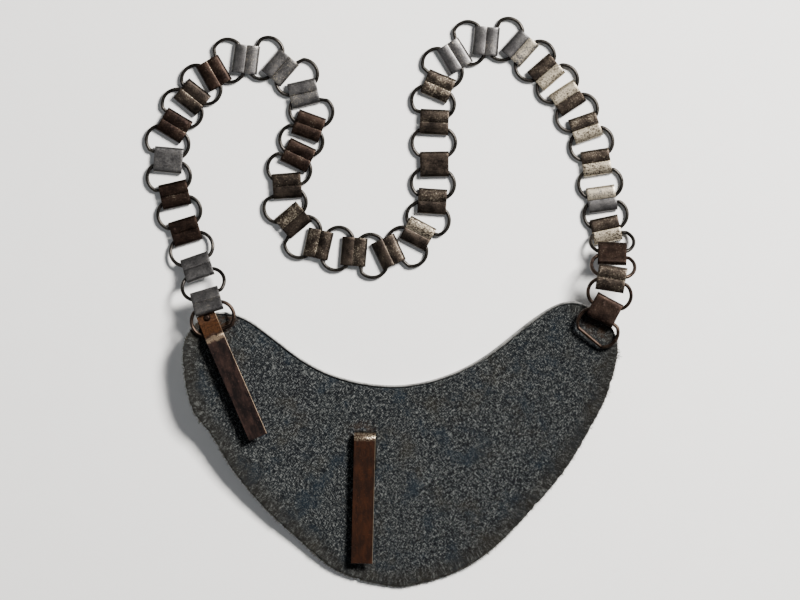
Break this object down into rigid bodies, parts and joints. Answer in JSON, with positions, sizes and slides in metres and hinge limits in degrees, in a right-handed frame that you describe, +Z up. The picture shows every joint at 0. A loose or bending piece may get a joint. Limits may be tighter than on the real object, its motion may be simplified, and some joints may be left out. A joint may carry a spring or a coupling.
{
  "type": "neck gorget",
  "caption": "Crescent sheet-metal neck gorget, cloth backing up, with a flat centre prong, a strip hook and a neck chain of folded sheet sleeves on wire rings.",
  "frame": {"origin": "under the middle of the whole object's box, on the surface it lies on", "axes": "+Z up from the surface, +Y from the plate towards the chain's loops, +X to the side of the chain's free end"},
  "size_m": [0.2648, 0.308, 0.0246],
  "materials": {
    "plate_steel": "dull, lightly oxidised",
    "felt": "worn grey-blue wool felt, frayed edge",
    "rusted_strip": "red-brown rust, worn bright on edges",
    "solder": "dull grey",
    "ring_wire": "blackened, semi-gloss",
    "sleeve_grey": "bare grey sheet steel",
    "sleeve_brown": "dark brown patina",
    "sleeve_bright": "speckled, worn bright"
  },
  "bodies": {
    "gorget": {"gorget_plate": "plate_steel", "cloth_backing": "felt", "centre_prong": "rusted_strip", "prong_solder": "solder", "chain_hook": "rusted_strip", "hook_rivet": "rusted_strip"},
    "hook_ring": {"hook_ring": "ring_wire"},
    "chain_link_01": {"chain_link_01": "sleeve_grey"},
    "chain_link_02": {"chain_link_02": "sleeve_grey"},
    "chain_link_03": {"chain_link_03": "sleeve_brown"},
    "chain_link_04": {"chain_link_04": "sleeve_brown"},
    "chain_link_05": {"chain_link_05": "sleeve_grey"},
    "chain_link_06": {"chain_link_06": "sleeve_brown"},
    "chain_link_07": {"chain_link_07": "sleeve_brown"},
    "chain_link_08": {"chain_link_08": "sleeve_brown"},
    "chain_link_09": {"chain_link_09": "sleeve_grey"},
    "chain_link_10": {"chain_link_10": "sleeve_grey"},
    "chain_link_11": {"chain_link_11": "sleeve_grey"},
    "chain_link_12": {"chain_link_12": "sleeve_brown"},
    "chain_link_13": {"chain_link_13": "sleeve_brown"},
    "chain_link_14": {"chain_link_14": "sleeve_brown"},
    "chain_link_15": {"chain_link_15": "sleeve_brown"},
    "chain_link_16": {"chain_link_16": "sleeve_brown"},
    "chain_link_17": {"chain_link_17": "sleeve_brown"},
    "chain_link_18": {"chain_link_18": "sleeve_brown"},
    "chain_link_19": {"chain_link_19": "sleeve_bright"},
    "chain_link_20": {"chain_link_20": "sleeve_bright"},
    "chain_link_21": {"chain_link_21": "sleeve_grey"},
    "chain_link_22": {"chain_link_22": "sleeve_brown"},
    "chain_link_23": {"chain_link_23": "sleeve_brown"},
    "chain_link_24": {"chain_link_24": "sleeve_grey"},
    "chain_link_25": {"chain_link_25": "sleeve_grey"},
    "chain_link_26": {"chain_link_26": "sleeve_grey"},
    "chain_link_27": {"chain_link_27": "sleeve_bright"},
    "chain_link_28": {"chain_link_28": "sleeve_bright"},
    "chain_link_29": {"chain_link_29": "sleeve_bright"},
    "chain_link_30": {"chain_link_30": "sleeve_bright"},
    "chain_link_31": {"chain_link_31": "sleeve_bright"},
    "chain_link_32": {"chain_link_32": "sleeve_bright"},
    "chain_link_33": {"chain_link_33": "sleeve_brown"},
    "chain_link_34": {"chain_link_34": "sleeve_brown"},
    "chain_link_35": {"chain_link_35": "sleeve_brown"}
  },
  "joints": [
    {"name": "hook_ring_swivel", "type": "hinge", "parent": "gorget", "child": "hook_ring", "pos_m": [-0.09831, -0.00861, 0.01639], "axis": [0, 0, 1], "range_deg": [-3, 8]},
    {"name": "link_01_hinge", "type": "hinge", "parent": "hook_ring", "child": "chain_link_01", "pos_m": [-0.09753, -0.00269, 0.01639], "axis": [-0.9336, -0.3584, 0], "range_deg": [0, 40]},
    {"name": "link_02_hinge", "type": "hinge", "parent": "chain_link_01", "child": "chain_link_02", "pos_m": [-0.10257, 0.01518, 0.00764], "axis": [0.9336, 0.3584, 0], "range_deg": [-40, 0]},
    {"name": "link_03_hinge", "type": "hinge", "parent": "chain_link_02", "child": "chain_link_03", "pos_m": [-0.10934, 0.03478, 0.00212], "axis": [-0.9336, -0.3584, 0], "range_deg": [0, 40]},
    {"name": "link_04_hinge", "type": "hinge", "parent": "chain_link_03", "child": "chain_link_04", "pos_m": [-0.11541, 0.05479, 0.00212], "axis": [0.9659, 0.2588, 0], "range_deg": [-40, 0]},
    {"name": "link_05_hinge", "type": "hinge", "parent": "chain_link_04", "child": "chain_link_05", "pos_m": [-0.11974, 0.07436, 0.00212], "axis": [-0.9976, -0.0698, 0], "range_deg": [0, 40]},
    {"name": "link_06_hinge", "type": "hinge", "parent": "chain_link_05", "child": "chain_link_06", "pos_m": [-0.11784, 0.09266, 0.00212], "axis": [0.9511, -0.309, 0], "range_deg": [-40, 0]},
    {"name": "link_07_hinge", "type": "hinge", "parent": "chain_link_06", "child": "chain_link_07", "pos_m": [-0.1075, 0.1094, 0.00212], "axis": [0.7431, -0.6691, 0], "range_deg": [0, 40]},
    {"name": "link_08_hinge", "type": "hinge", "parent": "chain_link_07", "child": "chain_link_08", "pos_m": [-0.09701, 0.1222, 0.00212], "axis": [-0.7193, 0.6947, 0], "range_deg": [-40, 0]},
    {"name": "link_09_hinge", "type": "hinge", "parent": "chain_link_08", "child": "chain_link_09", "pos_m": [-0.08019, 0.1312, 0.00212], "axis": [0.1564, -0.9877, 0], "range_deg": [0, 40]},
    {"name": "link_10_hinge", "type": "hinge", "parent": "chain_link_09", "child": "chain_link_10", "pos_m": [-0.06133, 0.12827, 0.00212], "axis": [0.4695, 0.8829, 0], "range_deg": [-40, 0]},
    {"name": "link_11_hinge", "type": "hinge", "parent": "chain_link_10", "child": "chain_link_11", "pos_m": [-0.04707, 0.11505, 0.00212], "axis": [-0.8829, -0.4695, 0], "range_deg": [0, 40]},
    {"name": "link_12_hinge", "type": "hinge", "parent": "chain_link_11", "child": "chain_link_12", "pos_m": [-0.04334, 0.09619, 0.00212], "axis": [0.9903, -0.1392, 0], "range_deg": [-40, 0]},
    {"name": "link_13_hinge", "type": "hinge", "parent": "chain_link_12", "child": "chain_link_13", "pos_m": [-0.04883, 0.08041, 0.00212], "axis": [-0.9877, 0.1564, 0], "range_deg": [0, 40]},
    {"name": "link_14_hinge", "type": "hinge", "parent": "chain_link_13", "child": "chain_link_14", "pos_m": [-0.05565, 0.06501, 0.00212], "axis": [0.9816, -0.1908, 0], "range_deg": [-40, 0]},
    {"name": "link_15_hinge", "type": "hinge", "parent": "chain_link_14", "child": "chain_link_15", "pos_m": [-0.05377, 0.04596, 0.00212], "axis": [-0.9135, -0.4067, 0], "range_deg": [0, 40]},
    {"name": "link_16_hinge", "type": "hinge", "parent": "chain_link_15", "child": "chain_link_16", "pos_m": [-0.04104, 0.03175, 0.00212], "axis": [0.4848, 0.8746, 0], "range_deg": [-40, 0]},
    {"name": "link_17_hinge", "type": "hinge", "parent": "chain_link_16", "child": "chain_link_17", "pos_m": [-0.0216, 0.02728, 0.00212], "axis": [-0.2079, -0.9781, 0], "range_deg": [0, 40]},
    {"name": "link_18_hinge", "type": "hinge", "parent": "chain_link_17", "child": "chain_link_18", "pos_m": [-0.00315, 0.02603, 0.00212], "axis": [-0.1736, 0.9848, 0], "range_deg": [-40, 0]},
    {"name": "link_19_hinge", "type": "hinge", "parent": "chain_link_18", "child": "chain_link_19", "pos_m": [0.01401, 0.03471, 0.00212], "axis": [0.7193, -0.6947, 0], "range_deg": [0, 40]},
    {"name": "link_20_hinge", "type": "hinge", "parent": "chain_link_19", "child": "chain_link_20", "pos_m": [0.0227, 0.05151, 0.00212], "axis": [0.9511, -0.309, 0], "range_deg": [-40, 0]},
    {"name": "link_21_hinge", "type": "hinge", "parent": "chain_link_20", "child": "chain_link_21", "pos_m": [0.0241, 0.0707, 0.00212], "axis": [-0.9925, 0.1219, 0], "range_deg": [0, 40]},
    {"name": "link_22_hinge", "type": "hinge", "parent": "chain_link_21", "child": "chain_link_22", "pos_m": [0.02373, 0.09277, 0.00212], "axis": [1, 0, 0], "range_deg": [-40, 0]},
    {"name": "link_23_hinge", "type": "hinge", "parent": "chain_link_22", "child": "chain_link_23", "pos_m": [0.02516, 0.11434, 0.00212], "axis": [-0.9613, 0.2756, 0], "range_deg": [0, 40]},
    {"name": "link_24_hinge", "type": "hinge", "parent": "chain_link_23", "child": "chain_link_24", "pos_m": [0.03294, 0.13136, 0.00212], "axis": [0.7431, -0.6691, 0], "range_deg": [-40, 0]},
    {"name": "link_25_hinge", "type": "hinge", "parent": "chain_link_24", "child": "chain_link_25", "pos_m": [0.04944, 0.14095, 0.00212], "axis": [0.1908, -0.9816, 0], "range_deg": [0, 40]},
    {"name": "link_26_hinge", "type": "hinge", "parent": "chain_link_25", "child": "chain_link_26", "pos_m": [0.06839, 0.13867, 0.00212], "axis": [0.4384, 0.8988, 0], "range_deg": [-40, 0]},
    {"name": "link_27_hinge", "type": "hinge", "parent": "chain_link_26", "child": "chain_link_27", "pos_m": [0.08319, 0.1253, 0.00212], "axis": [-0.6947, -0.7193, 0], "range_deg": [0, 40]},
    {"name": "link_28_hinge", "type": "hinge", "parent": "chain_link_27", "child": "chain_link_28", "pos_m": [0.0945, 0.11217, 0.00212], "axis": [0.7986, 0.6018, 0], "range_deg": [-40, 0]},
    {"name": "link_29_hinge", "type": "hinge", "parent": "chain_link_28", "child": "chain_link_29", "pos_m": [0.10481, 0.09633, 0.00212], "axis": [-0.829, -0.5592, 0], "range_deg": [0, 40]},
    {"name": "link_30_hinge", "type": "hinge", "parent": "chain_link_29", "child": "chain_link_30", "pos_m": [0.1108, 0.07882, 0.00212], "axis": [0.9563, 0.2924, 0], "range_deg": [-40, 0]},
    {"name": "link_31_hinge", "type": "hinge", "parent": "chain_link_30", "child": "chain_link_31", "pos_m": [0.11415, 0.05718, 0.00212], "axis": [-0.9962, -0.0872, 0], "range_deg": [0, 40]},
    {"name": "link_32_hinge", "type": "hinge", "parent": "chain_link_31", "child": "chain_link_32", "pos_m": [0.11635, 0.04031, 0.00212], "axis": [1, 0, 0], "range_deg": [-40, 0]},
    {"name": "link_33_hinge", "type": "hinge", "parent": "chain_link_32", "child": "chain_link_33", "pos_m": [0.11962, 0.02734, 0.01129], "axis": [-0.9998, 0.0175, 0], "range_deg": [0, 40]},
    {"name": "link_34_hinge", "type": "hinge", "parent": "chain_link_33", "child": "chain_link_34", "pos_m": [0.11901, 0.01405, 0.02172], "axis": [0.9928, -0.1079, 0.0523], "range_deg": [-40, 0]},
    {"name": "link_35_hinge", "type": "hinge", "parent": "chain_link_34", "child": "chain_link_35", "pos_m": [0.11658, -0.00213, 0.01809], "axis": [-0.9757, 0.2109, -0.059], "range_deg": [0, 40]}
  ]
}
